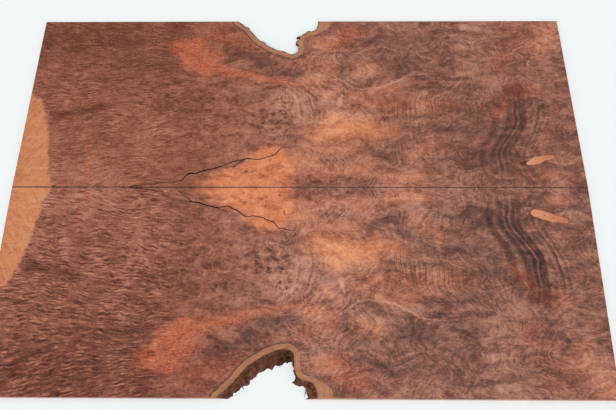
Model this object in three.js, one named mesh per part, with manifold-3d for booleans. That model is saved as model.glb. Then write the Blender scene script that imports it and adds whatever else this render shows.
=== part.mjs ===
// A bookmatched board of sequoia burl, lying flat with its show face up.
// One slab was sawn through its thickness and opened like a book, so two mirrored leaves lie edge to edge.
// Each leaf keeps a bay of natural bark edge in its outer side and a drying crack that starts at the seam.
// Millimetres, +Z up. The origin is on the underside, at the middle of the seam, and +X runs along the seam.
// A leaf is drawn in its own plan: x along the seam, and "out" away from the seam.

import * as THREE from "three";
import { mergeVertices } from "three/addons/utils/BufferGeometryUtils.js";
import Module from "manifold-3d";

const solids = await Module();
solids.setup();

// Driving dimensions of one leaf
const LEAF_LENGTH = 550; // along the seam
const LEAF_WIDTH = 200; // from the seam to the outer edge
const LEAF_THICKNESS = 4;
const SEAM_GAP = 0.3; // the leaves lie this far apart
const LEFT_END_LEAN = 1.7; // the sawn ends draw in this much towards the outer edge
const RIGHT_END_LEAN = 2.9;
const OVERCUT = 1; // how far a cutting shape passes the faces that it cuts

// The bay of bark edge, as [x, out] from left to right: its rim on the show face, and its foot on the underside
// of the leaf where the bark runs out under the rim. Each point of the rim has its own point of the foot.
const BARK_RIM = [
  [-79, 212],
  [-66, 199.5],
  [-52, 185.5],
  [-45, 176.5],
  [-35, 168.3],
  [-19.5, 159.6],
  [-9, 156.6],
  [-2.6, 160.5],
  [-1.6, 169],
  [-0.4, 178.5],
  [4.5, 184.2],
  [14, 187.4],
  [18, 193.5],
  [18.6, 200],
  [20, 214],
];
const BARK_FOOT = [
  [-70, 212],
  [-56.2, 199],
  [-45, 190],
  [-37.5, 184],
  [-31, 177.3],
  [-17, 172.4],
  [-8.6, 169],
  [-5, 168.8],
  [-1.9, 172.5],
  [-0.3, 180.5],
  [-1.6, 186.4],
  [7, 189.6],
  [9.8, 193],
  [9.5, 199],
  [10, 213],
];
const BARK_POINTS = 98; // along the rim
const BARK_LAYERS = 5; // through the thickness
const BAY_MOUTH = 20; // how far the cut for the bay runs past the outer edge
// The bark face slants through the slab, so it runs out under one leaf's rim and back under the other's.
const SLANT_OUT = 1;
const SLANT_BACK = -0.6; // it runs back less steeply, as bark that thin breaks off
const FURROWS = [
  { depth: 0.7, wavelength: 8.5, drift: 0.55 },
  { depth: 0.35, wavelength: 4.6, drift: 1.3 },
];

// The drying crack, as [x, out, width], from its mouth at the seam to its tip
const CRACK_ROUTE = [
  [-165, -1, 1.6],
  [-158, 1.2, 1.3],
  [-147, 3, 0.6],
  [-131, 4.6, 0.6],
  [-120, 4.9, 0.7],
  [-112, 7.6, 0.9],
  [-105.5, 14.6, 1.3],
  [-92, 17.4, 1.3],
  [-79, 21, 1.1],
  [-67, 23.6, 1],
  [-58, 26.6, 1],
  [-50, 31, 1.1],
  [-41.5, 30.2, 0.9],
  [-32.5, 32, 0.8],
  [-23.5, 36.6, 0.8],
  [-17, 43, 0.7],
  [-7, 44.8, 0.5],
];
const CRACK_TIP = [4, 46.5];

const WOOD = { color: 0x94604d, roughness: 0.55, metalness: 0 };

// A closed geometry as a solid that can be cut
function solidOf(geometry) {
  const bare = geometry.clone();
  bare.deleteAttribute("normal");
  bare.deleteAttribute("uv");
  const merged = mergeVertices(bare, 1e-4);
  return new solids.Manifold(
    new solids.Mesh({
      numProp: 3,
      vertProperties: merged.getAttribute("position").array,
      triVerts: new Uint32Array(merged.index.array),
    }),
  );
}

// A cut solid as a geometry again
function geometryOf(solid) {
  const { vertProperties, triVerts } = solid.getMesh();
  const geometry = new THREE.BufferGeometry();
  geometry.setAttribute("position", new THREE.BufferAttribute(vertProperties, 3));
  geometry.setIndex(new THREE.BufferAttribute(triVerts, 1));
  geometry.computeVertexNormals();
  return geometry;
}

// An outline extruded from below the underside to above the show face
function throughCut(outline, steps = 1) {
  const depth = LEAF_THICKNESS + 2 * OVERCUT;
  const shape = new THREE.Shape(outline);
  return new THREE.ExtrudeGeometry(shape, { depth, steps, bevelEnabled: false }).translate(0, 0, -OVERCUT);
}

// The sawn leaf before its bay and crack
function sawnLeaf() {
  const half = LEAF_LENGTH / 2;
  const outline = new THREE.Shape([
    new THREE.Vector2(-half, 0),
    new THREE.Vector2(half, 0),
    new THREE.Vector2(half - RIGHT_END_LEAN, LEAF_WIDTH),
    new THREE.Vector2(-half + LEFT_END_LEAN, LEAF_WIDTH),
  ]);
  return new THREE.ExtrudeGeometry(outline, { depth: LEAF_THICKNESS, bevelEnabled: false });
}

// How far the bark's furrows push a point sideways, at a place along the bark and a height in it
function furrow(along, height) {
  return FURROWS.reduce(
    (sum, { depth, wavelength, drift }) =>
      sum + depth * Math.sin((2 * Math.PI * along) / wavelength + drift * height),
    0,
  );
}

// One edge of the bay as a smooth curve, closed round the bay's mouth
function bayOutline(edge) {
  const curve = new THREE.SplineCurve(edge.map((at) => new THREE.Vector2(...at)));
  const points = curve.getPoints(BARK_POINTS);
  const mouth = LEAF_WIDTH + BAY_MOUTH;
  const left = points[0];
  const right = points[points.length - 1];
  return [...points, new THREE.Vector2(right.x, mouth), new THREE.Vector2(left.x, mouth)];
}

// The space in the bay. The rim is straight on the show face, and the furrows deepen below it.
function barkBay(slant) {
  const rim = bayOutline(BARK_RIM);
  const foot = bayOutline(BARK_FOOT);
  const geometry = throughCut(rim, BARK_LAYERS);
  const place = geometry.getAttribute("position");
  for (let i = 0; i < place.count; i += 1) {
    const at = new THREE.Vector2(place.getX(i), place.getY(i));
    const gaps = rim.map((point) => point.distanceToSquared(at));
    const nearest = gaps.indexOf(Math.min(...gaps));
    const sunk = (LEAF_THICKNESS - place.getZ(i)) / LEAF_THICKNESS;
    const drift = foot[nearest].clone().sub(rim[nearest]).multiplyScalar(slant * sunk);
    const ripple = Math.max(sunk, 0);
    place.setX(i, at.x + drift.x + ripple * furrow(at.y, place.getZ(i)));
    place.setY(i, at.y + drift.y + ripple * furrow(at.x, place.getZ(i)));
  }
  return geometry;
}

// The crack as a thin slot that follows its route and closes at the tip
function crackSlot() {
  const route = CRACK_ROUTE.map(([x, out]) => new THREE.Vector2(x, out));
  const tip = new THREE.Vector2(...CRACK_TIP);
  const line = [...route, tip];
  const banks = route.map((at, i) => {
    const ahead = line[i + 1].clone().sub(line[Math.max(i - 1, 0)]).normalize();
    const across = new THREE.Vector2(-ahead.y, ahead.x).multiplyScalar(CRACK_ROUTE[i][2] / 2);
    return { near: at.clone().sub(across), far: at.clone().add(across) };
  });
  return throughCut([...banks.map((bank) => bank.near), tip, ...banks.map((bank) => bank.far).reverse()]);
}

// One leaf of the book, lying with its seam edge towards the seam
function leaf(name, slant) {
  const cut = solidOf(sawnLeaf()).subtract(solidOf(barkBay(slant))).subtract(solidOf(crackSlot()));
  const mesh = new THREE.Mesh(geometryOf(cut), new THREE.MeshStandardMaterial(WOOD));
  mesh.name = name;
  mesh.position.y = SEAM_GAP / 2;
  return mesh;
}

const farLeaf = leaf("leaf_far", SLANT_BACK);

// The near leaf is the far one's mirror image, so it turns over about the seam.
const nearSide = new THREE.Group();
nearSide.scale.y = -1;
nearSide.add(leaf("leaf_near", SLANT_OUT));

const board = new THREE.Group();
board.name = "bookmatched_burl_board";
board.add(farLeaf, nearSide);

export default board;
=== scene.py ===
# %% [markdown]
# # A bookmatched board of sequoia burl
# A slab of burl was sawn through its thickness and opened like a book, so two leaves with mirrored
# figure lie edge to edge. The solids give the outline, the bay of bark edge and the drying crack.
# This lesson makes the finer surface: ragged bark and crack edges, and a figure built from nodes alone.

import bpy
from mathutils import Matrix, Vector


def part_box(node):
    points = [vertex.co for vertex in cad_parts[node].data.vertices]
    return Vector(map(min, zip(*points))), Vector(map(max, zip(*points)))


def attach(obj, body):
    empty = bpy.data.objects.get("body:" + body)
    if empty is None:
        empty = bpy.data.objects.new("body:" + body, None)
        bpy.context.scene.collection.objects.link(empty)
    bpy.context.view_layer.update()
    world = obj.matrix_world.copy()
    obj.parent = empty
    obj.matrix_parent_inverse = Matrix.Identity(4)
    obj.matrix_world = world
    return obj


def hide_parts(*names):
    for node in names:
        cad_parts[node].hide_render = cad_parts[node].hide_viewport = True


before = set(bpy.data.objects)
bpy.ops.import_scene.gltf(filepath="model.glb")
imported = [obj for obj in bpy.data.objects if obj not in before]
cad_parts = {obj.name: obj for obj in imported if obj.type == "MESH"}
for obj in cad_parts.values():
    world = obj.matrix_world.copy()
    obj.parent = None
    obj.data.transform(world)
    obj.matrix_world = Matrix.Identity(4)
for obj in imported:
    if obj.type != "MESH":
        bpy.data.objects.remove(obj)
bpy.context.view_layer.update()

# %% Modules and units
import math
from types import SimpleNamespace

import bmesh
import bpy
from mathutils import Matrix, Vector, kdtree, noise

MM = 0.001
LEAVES = {"leaf_near": -1, "leaf_far": 1}  # which side of the seam each leaf is on
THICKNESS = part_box("leaf_near")[1].z
SEAM_GAP = 2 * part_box("leaf_far")[0].y
OUTER_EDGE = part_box("leaf_far")[1].y
print(f"leaves {THICKNESS / MM:.1f} mm thick, {SEAM_GAP / MM:.2f} mm apart at the seam")

# %% [markdown]
# ## Camera
# The picture looks down on the board from its near side. The camera's place and turn were worked out
# from the board's own corners. They could be set by a constraint that tracks a target, but plain angles
# are exact: down from the horizon, and small turns to the left and about the line of sight.
# Writing the rotation as a product of three turns keeps each one readable.

# %% Set up the camera
IMAGE_WIDTH = 616
FOCAL_PIXELS = 777.35
SENSOR_WIDTH = 36.0
LOOK_DOWN = 63.61  # degrees below the horizon
LOOK_LEFT = 1.908  # degrees, as the next one
ROLL = -1.62
CAMERA_PLACE = Vector((20.1, -344.6, 656.9)) * MM + Vector((0, 0, THICKNESS))
CLIP_START = 0.01  # metres

camera_data = bpy.data.cameras.new("camera")
camera_data.sensor_width = SENSOR_WIDTH
camera_data.lens = FOCAL_PIXELS * SENSOR_WIDTH / IMAGE_WIDTH
camera_data.clip_start = CLIP_START
camera = bpy.data.objects.new("camera", camera_data)
camera.matrix_world = (
    Matrix.Translation(CAMERA_PLACE)
    @ Matrix.Rotation(math.radians(LOOK_LEFT), 4, "Z")
    @ Matrix.Rotation(math.radians(90 - LOOK_DOWN), 4, "X")
    @ Matrix.Rotation(math.radians(ROLL), 4, "Z")
)
bpy.context.scene.collection.objects.link(camera)
bpy.context.scene.camera = camera
print(f"lens {camera_data.lens:.1f} mm")

# %% [markdown]
# ## Node sums
# A wood figure is mostly arithmetic: distances, soft steps and noise, added and multiplied. Placing each
# Math node by hand hides the idea, so this small class lets ordinary signs between two fields add the
# nodes. Every field stays a real node in the material, and the figure can be read like a formula.

# %% A field: a number that changes over the surface
class Field:
    """A node output. Signs between fields, or a field and a number, add Math nodes to the tree."""

    def __init__(self, tree, socket):
        self.tree = tree
        self.socket = socket

    def math(self, operation, *others):
        node = self.tree.nodes.new("ShaderNodeMath")
        node.operation = operation
        for slot, value in zip(node.inputs, (self, *others)):
            plug(self.tree, value, slot)
        return Field(self.tree, node.outputs[0])

    def __add__(self, other):
        return self.math("ADD", other)

    def __sub__(self, other):
        return self.math("SUBTRACT", other)

    def __mul__(self, other):
        return self.math("MULTIPLY", other)

    def __truediv__(self, other):
        return self.math("DIVIDE", other)

    def clamped(self):
        return self.math("MAXIMUM", 0.0).math("MINIMUM", 1.0)


def plug(tree, value, slot):
    """Links a field to a socket, or sets the socket to a plain value."""
    if isinstance(value, Field):
        tree.links.new(value.socket, slot)
    else:
        slot.default_value = value


def add_node(tree, kind, **settings):
    node = tree.nodes.new(kind)
    for name, value in settings.items():
        setattr(node, name, value)
    return node


# %% Masks
def step(field, start, end):
    """0 before start, 1 after end, and smooth between them. It falls instead where end is below start."""
    node = add_node(field.tree, "ShaderNodeMapRange", interpolation_type="SMOOTHSTEP")
    rising = end > start
    low, high = (start, end) if rising else (end, start)
    ends = (0.0, 1.0) if rising else (1.0, 0.0)
    for slot, value in zip(node.inputs, (field, low, high, *ends)):
        plug(field.tree, value, slot)
    return Field(field.tree, node.outputs[0])


def less(mask, share):
    """1 all over, and less by a share where the mask is."""
    return mask * -share + 1


# %% Points: made, taken apart, pushed and laid on a pattern
def join(tree, x, y, z):
    node = add_node(tree, "ShaderNodeCombineXYZ")
    for slot, value in zip(node.inputs, (x, y, z)):
        plug(tree, value, slot)
    return Field(tree, node.outputs[0])


def split(field):
    node = add_node(field.tree, "ShaderNodeSeparateXYZ")
    plug(field.tree, field, node.inputs[0])
    return [Field(field.tree, out) for out in node.outputs]


def shifted(point, by, amount):
    """A point moved by a vector field times an amount."""
    node = add_node(point.tree, "ShaderNodeVectorMath", operation="MULTIPLY_ADD")
    plug(point.tree, by, node.inputs[0])
    node.inputs[1].default_value = (amount, amount, amount)
    plug(point.tree, point, node.inputs[2])
    return Field(point.tree, node.outputs[0])


def laid(point, size, turn=0.0):
    """A point in a pattern's own grid: its size in millimetres each way, turned in the board's plane."""
    node = add_node(point.tree, "ShaderNodeMapping", vector_type="TEXTURE")
    plug(point.tree, point, node.inputs["Vector"])
    node.inputs["Rotation"].default_value = (0, 0, math.radians(turn))
    node.inputs["Scale"].default_value = size
    return Field(point.tree, node.outputs[0])


def noise_at(point, detail=2.0, roughness=0.5, distortion=0.0, colour=False):
    node = add_node(point.tree, "ShaderNodeTexNoise")
    plug(point.tree, point, node.inputs["Vector"])
    node.inputs["Scale"].default_value = 1.0
    node.inputs["Detail"].default_value = detail
    node.inputs["Roughness"].default_value = roughness
    node.inputs["Distortion"].default_value = distortion
    return Field(point.tree, node.outputs["Color" if colour else "Fac"])


# %% Colours
MIX_SHARE, MIX_FIRST, MIX_SECOND, MIX_RESULT = 0, 6, 7, 2  # the sockets of a Mix node that are for colours


def channels(colour):
    """A colour's three numbers, each from 0 to 1."""
    node = add_node(colour.tree, "ShaderNodeSeparateColor")
    plug(colour.tree, colour, node.inputs[0])
    return [Field(colour.tree, out) for out in node.outputs]


def blend(tree, share, first, second):
    """A colour between two, by a field."""
    node = add_node(tree, "ShaderNodeMix", data_type="RGBA")
    plug(tree, share, node.inputs[MIX_SHARE])
    plug(tree, first, node.inputs[MIX_FIRST])
    plug(tree, second, node.inputs[MIX_SECOND])
    return Field(tree, node.outputs[MIX_RESULT])


def srgb(red, green, blue):
    """A colour as a screen shows it, from 0 to 255, made linear for a shader."""
    parts = [value / 255 for value in (red, green, blue)]
    linear = [c / 12.92 if c <= 0.04045 else ((c + 0.055) / 1.055) ** 2.4 for c in parts]
    return (*linear, 1.0)


def ramp(field, *stops):
    """A colour ramp. Each stop is a place from 0 to 1 and a colour."""
    node = add_node(field.tree, "ShaderNodeValToRGB")
    plug(field.tree, field, node.inputs[0])
    marks = node.color_ramp.elements
    while len(marks) < len(stops):
        marks.new(0.5)
    for mark, (place, colour) in zip(marks, stops):
        mark.position = place
        mark.color = colour
    return Field(field.tree, node.outputs[0])


# %% Node groups
NUMBER = "NodeSocketFloat"
VECTOR = "NodeSocketVector"
COLOUR = "NodeSocketColor"


def new_group(name, inputs, outputs):
    """An empty node group, with its inputs as fields. inputs gives each one's name, kind and default."""
    tree = bpy.data.node_groups.new(name, "ShaderNodeTree")
    for label, kind, value in inputs:
        slot = tree.interface.new_socket(label, in_out="INPUT", socket_type=kind)
        slot.default_value = value
    for label, kind in outputs:
        tree.interface.new_socket(label, in_out="OUTPUT", socket_type=kind)
    entry = tree.nodes.new("NodeGroupInput")
    fields = [Field(tree, entry.outputs[label]) for label, _, _ in inputs]
    return tree, fields


def close_group(tree, **results):
    """Links the fields named to the group's outputs."""
    end = tree.nodes.new("NodeGroupOutput")
    for label, field in results.items():
        tree.links.new(field.socket, end.inputs[label])
    print(f"node group {tree.name}: {len(tree.nodes)} nodes")
    return tree


def use_group(tree, group, **values):
    """Places a group in a tree. Returns its outputs as fields."""
    node = add_node(tree, "ShaderNodeGroup", node_tree=group)
    for label, value in values.items():
        plug(tree, value, node.inputs[label])
    return [Field(tree, out) for out in node.outputs]


# %% [markdown]
# ## Where a point lay in the slab
# Both leaves were one piece of wood, so their figure should come from one solid pattern. Folding the board
# shut again gives that: the distance from the seam counts the same on both sides, and the depth below
# the show face counts up in one leaf and down in the other. The saw took a little wood between them, so
# the leaves are near twins and not exact mirrors, as on a real bookmatched pair.

# %% Slab coordinates, in millimetres
SAW_KERF = 2.2  # wood lost between the leaves
AT_SEAM = 1e-6  # metres from the middle of the seam, which no wood reaches


def make_slab_group():
    tree, _ = new_group("slab place", [], [("Point", VECTOR), ("Far", NUMBER)])
    place = add_node(tree, "ShaderNodeTexCoord")
    x, y, z = split(Field(tree, place.outputs["Object"]))
    far = step(y, -AT_SEAM, AT_SEAM)
    depth = (z * (-1 / MM) + (THICKNESS / MM + SAW_KERF / 2)) * (far * 2 - 1)
    point = join(tree, x * (1 / MM), y.math("ABSOLUTE") * (1 / MM), depth)
    return close_group(tree, Point=point, Far=far)


SLAB = make_slab_group()

# %% [markdown]
# ## Soft strokes
# Flames of orange wood, smoky stains and pale streaks have no hard outline, but they do have a place. A
# soft stroke is the distance to a line between two points, compared with a radius that changes along it:
# it can be a round cloud, a comet or a hairline. One group makes them all, as a painter uses one brush.

# %% The soft stroke group
def make_stroke_group():
    inputs = [
        ("Point", VECTOR, (0, 0, 0)),
        ("Start", VECTOR, (0, 0, 0)),
        ("Line", VECTOR, (1, 0, 0)),
        ("Slope", VECTOR, (1, 0, 0)),
        ("Taper", NUMBER, 0),
        ("Outside", NUMBER, 1),
        ("Inside", NUMBER, 0),
        ("Strength", NUMBER, 1),
    ]
    tree, fields = new_group("soft stroke", inputs, [("Mask", NUMBER)])
    point, start, line, slope, taper, outside, inside, strength = fields

    def vector_math(operation, *values, out="Vector"):
        node = add_node(tree, "ShaderNodeVectorMath", operation=operation)
        for slot, value in zip(node.inputs, values):
            plug(tree, value, slot)
        return Field(tree, node.outputs[out])

    reach = vector_math("SUBTRACT", point, start)
    share = vector_math("DOT_PRODUCT", reach, slope, out="Value").clamped()
    foot = add_node(tree, "ShaderNodeVectorMath", operation="SCALE")
    plug(tree, line, foot.inputs[0])
    plug(tree, share, foot.inputs["Scale"])
    away = vector_math("DISTANCE", reach, Field(tree, foot.outputs["Vector"]), out="Value")
    grown = share.math("MULTIPLY_ADD", taper, away)
    mask = add_node(tree, "ShaderNodeMapRange", interpolation_type="SMOOTHSTEP")
    values = {"Value": grown, "From Min": outside, "From Max": inside, "To Max": strength}
    for name, value in values.items():
        plug(tree, value, mask.inputs[name])
    return close_group(tree, Mask=Field(tree, mask.outputs["Result"]))


STROKE = make_stroke_group()

# %% Lay strokes on a point
def flat(point):
    """A point without its depth, as strokes take it."""
    x, out, _ = split(point)
    return join(point.tree, x, out, 0.0)


def stroke(point, start, end, radii, softness, strength=1.0):
    """A soft stroke's mask at a flat point, from one (x, out) place to another."""
    line = Vector((*end, 0)) - Vector((*start, 0))
    (mask,) = use_group(
        point.tree,
        STROKE,
        Point=point,
        Start=(*start, 0),
        Line=tuple(line),
        Slope=tuple(line / line.length_squared),
        Taper=radii[0] - radii[1],
        Outside=radii[0] + softness,
        Inside=radii[0] - softness,
        Strength=strength,
    )
    return mask


def strokes(point, marks):
    """Several strokes as one mask. Each mark is (start, end, radii, softness, strength)."""
    total = None
    for mark in marks:
        mask = stroke(point, *mark)
        total = mask if total is None else total.math("MAXIMUM", mask)
    return total


# %% [markdown]
# ## The burl figure
# Sequoia burl shows many growths at once. On the left the grain is curled into short light and dark
# dashes. In the middle hundreds of buds left small eyes. On the right the growth rings bend into dark
# chevrons and fingerprint lines, and smoky stains and orange flames lie over all of it.
# Painting this on an image would tie it to one picture. Here each growth is one short function that gives
# a tone above or below the middle, and palettes of colours are laid in by soft strokes.

# %% Helpers for the growths
def push_at(point, detail, roughness=0.5):
    """A soft noise as a vector field, centred on nothing, that can push points about."""
    parts = channels(noise_at(point, detail, roughness, colour=True))
    return join(point.tree, *[part - 0.5 for part in parts])


def spread(field, low, high):
    """A noise field stretched between two values, as a tone from -0.5 to 0.5."""
    return step(field, low, high) - 0.5


# %% [markdown]
# ### Curled streaks
# On the left the fibres run in short waves. The saw cuts through the waves, so they show as light and
# dark dashes, partly the fibres' own figure and partly painted sheen that the curled fibres catch, more
# on the near leaf than on the far one. Noise on a long, narrow grid makes dashes. The grid is bent and
# swollen first, so that they curl and lean as the fibres do, and columns of calm wood let them come and
# go.

# %% Curled streaks, left
CURL_MIDDLE = -205  # the place along the seam that the dashes lean about
CURL_LEAN = -0.1  # how far they lean in towards the seam, on their way to the right
OUTER_LEAN = 0.36  # more than that near the outer edge
SEAM_LEAN = 0.15  # and less than that near the seam
CURL_SWELL = 4.5  # millimetres between the trough and the top of a wave
# painted sheen: the near leaf catches more sheen on its dashes, so the far leaf's are weaker
FAR_LESS_SHEEN = 0.5  # the far leaf's dashes are this much weaker


def curl_tone(point, far):
    x, out, depth = split(point)
    lean = step(out, 115, 200) * OUTER_LEAN - step(out, 45, 0) * SEAM_LEAN + CURL_LEAN
    bent = out + (x - CURL_MIDDLE) * lean
    swell = noise_at(laid(point, (9, 15, 20)), detail=1)
    waves = join(point.tree, x, bent + swell * CURL_SWELL, depth)
    streaks = noise_at(laid(waves, (12, 1.8, 8)), detail=1.6, roughness=0.5, distortion=0.4)
    dashes = step(streaks, 0.53, 0.64) * 0.5 - step(streaks, 0.46, 0.36) * 0.5
    # the dashes' painted sheen, weaker on the far leaf
    tone = dashes * less(far, FAR_LESS_SHEEN)
    lines = noise_at(laid(waves, (9, 1.05, 8)), detail=2.5, roughness=0.6)
    tone = tone + spread(lines, 0.36, 0.64) * 0.5
    columns = noise_at(laid(point, (8, 44, 24)), detail=2)
    return tone * (step(columns, 0.66, 0.42) * 0.75 + 0.25)


# %% [markdown]
# ### Bud eyes
# A burl is full of buds that never grew out. Each left a dark eye, and the grain runs round it in a pale
# loop. Eyes could be placed one by one, but there are hundreds. A Voronoi texture is made of cells, so
# the eyes are the middles of cells and the loops are their edges.

# %% Bud eyes, middle
EYE_CELL = (8.2, 5.2, 16)  # millimetres
EYE_TURN = 32  # degrees
EYE_CONTRAST = 0.65


def cell_at(point, feature):
    node = add_node(point.tree, "ShaderNodeTexVoronoi", feature=feature)
    plug(point.tree, point, node.inputs["Vector"])
    node.inputs["Scale"].default_value = 1.0
    return node


def eye_tone(point):
    cells = laid(point, EYE_CELL, EYE_TURN)
    middle = cell_at(cells, "F1")
    away = Field(point.tree, middle.outputs["Distance"])
    pick, strength, _ = channels(Field(point.tree, middle.outputs["Color"]))
    smudge = step(away, 0.44, 0.1) * step(pick, 0.25, 0.75)
    edge = Field(point.tree, cell_at(cells, "DISTANCE_TO_EDGE").outputs["Distance"])
    loop = step(edge, 0.14, 0.02) * (strength * 0.6 + 0.2)
    return loop * EYE_CONTRAST - smudge * EYE_CONTRAST


# %% [markdown]
# ### Pale folds
# Beside the eyes the wood hangs in pale folds, like cloth pulled round them. Noise that is narrow across
# a circle and long round it gives such arcs. So the grid's first direction here is the distance from the
# circle's middle, and no texture of rings is needed.

# %% Pale folds that hang round the eyes
FOLDS_ROUND = (-35, 80)  # the middle of their arcs
FOLD_SIZE = (3.4, 50, 14)


def fold_tone(point):
    x, out, depth = split(point)
    across = x - FOLDS_ROUND[0]
    down = out - FOLDS_ROUND[1]
    radius = (across * across + down * down).math("SQRT")
    arcs = laid(join(point.tree, radius, x - out, depth), FOLD_SIZE)
    return spread(noise_at(arcs, detail=2.5, roughness=0.6), 0.38, 0.62)


# %% [markdown]
# ### Chevron rings
# Near the right end the yearly rings stand almost upright in the slab and bend halfway out, so the pair
# makes dark chevrons. A Wave texture would space them evenly, but these rings are wide and narrow by
# turns. A colour ramp along the seam gives each ring its own place and darkness.

# %% Chevron rings, right
RING_TONES = [
    (166, 0.5), (173, 0.55), (177, 0.2), (180, 0.3), (183, 0.65), (186, 0.5), (189, 0.15),
    (191.5, 0.3), (193, 0.6), (195, 0.15), (197, 0.2), (198.4, 0.75), (200, 0.2), (202.4, 0.1),
    (203.4, 0.4), (204.4, 0.1), (206.4, 0.15), (208.5, 0.6), (211, 0.5), (213.5, 0.4), (215.5, 0.65),
    (217.5, 0.5), (219.5, 0.15), (221.5, 0.75), (224, 0.5), (226, 0.2), (228, 0.7), (231, 0.4),
    (233, 0.65), (238, 0.5),
]  # millimetres along the seam, and the tone there
RING_START = RING_TONES[0][0]
RING_SPAN = RING_TONES[-1][0] - RING_START
RING_BEND = 19  # the rings run this much to the right on their way out
RING_WANDER = 6  # millimetres
RING_MIDDLE_TONE = 0.45


def ring_tone(point):
    x, out, depth = split(point)
    bent = x - step(out, 34, 82) * RING_BEND
    wander = noise_at(laid(join(point.tree, bent, out, depth), (16, 44, 16)), detail=2)
    place = (bent + wander * RING_WANDER - (RING_START + RING_WANDER / 2)) / RING_SPAN
    stops = [((mm - RING_START) / RING_SPAN, (tone, tone, tone, 1)) for mm, tone in RING_TONES]
    return channels(ramp(place, *stops))[0] - RING_MIDDLE_TONE


print(f"{len(RING_TONES)} ring tones over {RING_SPAN} mm")

# %% [markdown]
# ### Fingerprint lines, growth lines, strands and grain
# The finer growths differ only in the grid that their noise is laid on. Fingerprint lines are upright and
# close together. Growth lines follow swelling layers, as contours follow the hills on a map. Strands run
# along the wood's flow, and fine grain is everywhere.

# %% Fingerprint lines, right of the middle
PRINT_BEND = 20  # millimetres, as for the rings


def fingerprint_tone(point):
    x, out, depth = split(point)
    bent = x - step(out, 96, 128) * PRINT_BEND
    lines = noise_at(laid(join(point.tree, bent, out, depth), (1.35, 36, 12)), detail=1.5)
    return spread(lines, 0.38, 0.62)


# %% Growth lines
LAYER_SWELL = 120  # millimetres of layers cut through on one swelling


def layer_tone(point):
    x, out, depth = split(point)
    swell = noise_at(laid(point, (66, 36, 60)), detail=1.5, roughness=0.45)
    layers = join(point.tree, x + swell * LAYER_SWELL, out, depth)
    lines = noise_at(laid(layers, (2.2, 60, 30)), detail=2, roughness=0.5)
    return spread(lines, 0.36, 0.64)


# %% Strands, and fine grain
def strand_tone(point, turn, size):
    strands = noise_at(laid(point, size, turn), detail=3, roughness=0.6)
    return spread(strands, 0.35, 0.65)


def grain_tone(point):
    return spread(noise_at(laid(point, (2.4, 1.5, 4)), detail=4, roughness=0.7), 0.3, 0.7)


# %% [markdown]
# ## Palettes and places
# Each palette runs from the dark to the light of one kind of wood. The places are lists of soft strokes:
# where a flame starts and ends, in millimetres along the seam and out from it, how wide it is at both
# ends, how soft its edge is, and how strong it is. Palettes and places were first set, then adjusted
# by comparing colours measured on a photograph of the board and on the render.

# %% Palettes
RED_BROWN = [
    (0.0, srgb(62, 28, 21)),
    (0.35, srgb(109, 61, 47)),
    (0.5, srgb(141, 85, 68)),
    (0.65, srgb(168, 108, 88)),
    (1.0, srgb(206, 146, 118)),
]
ROSE_BROWN = [
    (0.0, srgb(58, 32, 26)),
    (0.35, srgb(105, 68, 58)),
    (0.5, srgb(139, 91, 77)),
    (0.65, srgb(170, 117, 99)),
    (1.0, srgb(210, 158, 134)),
]
ORANGE = [(0.1, srgb(118, 60, 40)), (0.5, srgb(212, 126, 87)), (0.85, srgb(243, 169, 122))]
EMBER = [(0.0, srgb(100, 44, 32)), (0.5, srgb(184, 98, 68)), (1.0, srgb(226, 146, 108))]
SMOKE = [(0.0, srgb(40, 28, 28)), (0.5, srgb(100, 69, 62)), (1.0, srgb(158, 115, 101))]
SAPWOOD = [(0.0, srgb(142, 80, 52)), (0.5, srgb(202, 129, 89)), (1.0, srgb(228, 164, 122))]

print("palettes for brown, rose, flame, ember, smoky and sap wood")

# %% Light and dark places
LIGHT_PLACES = [
    ((-4, 100), (50, 80), (16, 18), 18, 0.8),
    ((-2, 74), (-14, 112), (5, 5), 7, 0.7),
    ((5, 36), (70, 34), (16, 14), 20, 0.6),
    ((28, 62), (50, 70), (9, 11), 10, 1.0),
    ((26, 72), (36, 78), (8, 8), 10, 1.0),
    ((24, 106), (36, 114), (7, 7), 8, 0.8),
    ((-156, 24), (-146, 72), (9, 9), 12, 0.5),
    ((-74, 34), (-54, 54), (9, 9), 12, 0.6),
    ((-245, 16), (-180, 12), (14, 14), 22, 0.7),
    ((172, 140), (200, 128), (10, 10), 12, 0.5),
    ((165, 165), (195, 158), (8, 8), 10, 0.65),
    ((84, 12), (152, 13), (10, 8), 13, 0.5),
    ((104, 30), (128, 48), (8, 8), 10, 0.2),
    ((245, 135), (262, 190), (9, 14), 12, 0.5),
    ((18, 166), (32, 172), (7, 7), 8, 0.9),
    ((78, 106), (98, 114), (8, 8), 9, 0.25),
    ((4, 128), (74, 134), (8, 7), 9, 0.6),
    ((105, 192), (115, 190), (8, 8), 9, 0.3),
    ((180, 192), (200, 190), (8, 8), 9, 0.7),
    ((30, 150), (62, 158), (9, 9), 10, 0.35),
    ((-241, 50), (-239, 60), (3.5, 4), 5, 0.5),
    ((-218, 50), (-212, 62), (4, 4), 5, 0.5),
]
WISP_PLACES = [
    ((36, 128), (56, 115), (0.7, 0.8), 1.2, 0.8),
    ((56, 115), (88, 117), (0.8, 0.8), 1.2, 0.8),
    ((88, 117), (108, 128), (0.8, 0.7), 1.2, 0.9),
    ((108, 128), (136, 132), (0.7, 0.4), 1.2, 0.8),
    ((40, 95), (43, 106), (2.8, 0.8), 1.2, 0.9),
    ((152, 152), (182, 144), (0.8, 0.5), 1.4, 0.7),
    ((48, 126), (60, 121), (0.6, 0.5), 1.0, 0.7),
    ((88, 166), (104, 161), (0.8, 0.5), 1.2, 0.6),
    ((120, 172), (136, 176), (0.6, 0.5), 1.2, 0.5),
    ((-18, 72), (-4, 86), (0.9, 0.7), 1.4, 0.5),
    ((2, 78), (-6, 104), (1.0, 0.8), 1.6, 0.6),
]
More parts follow.
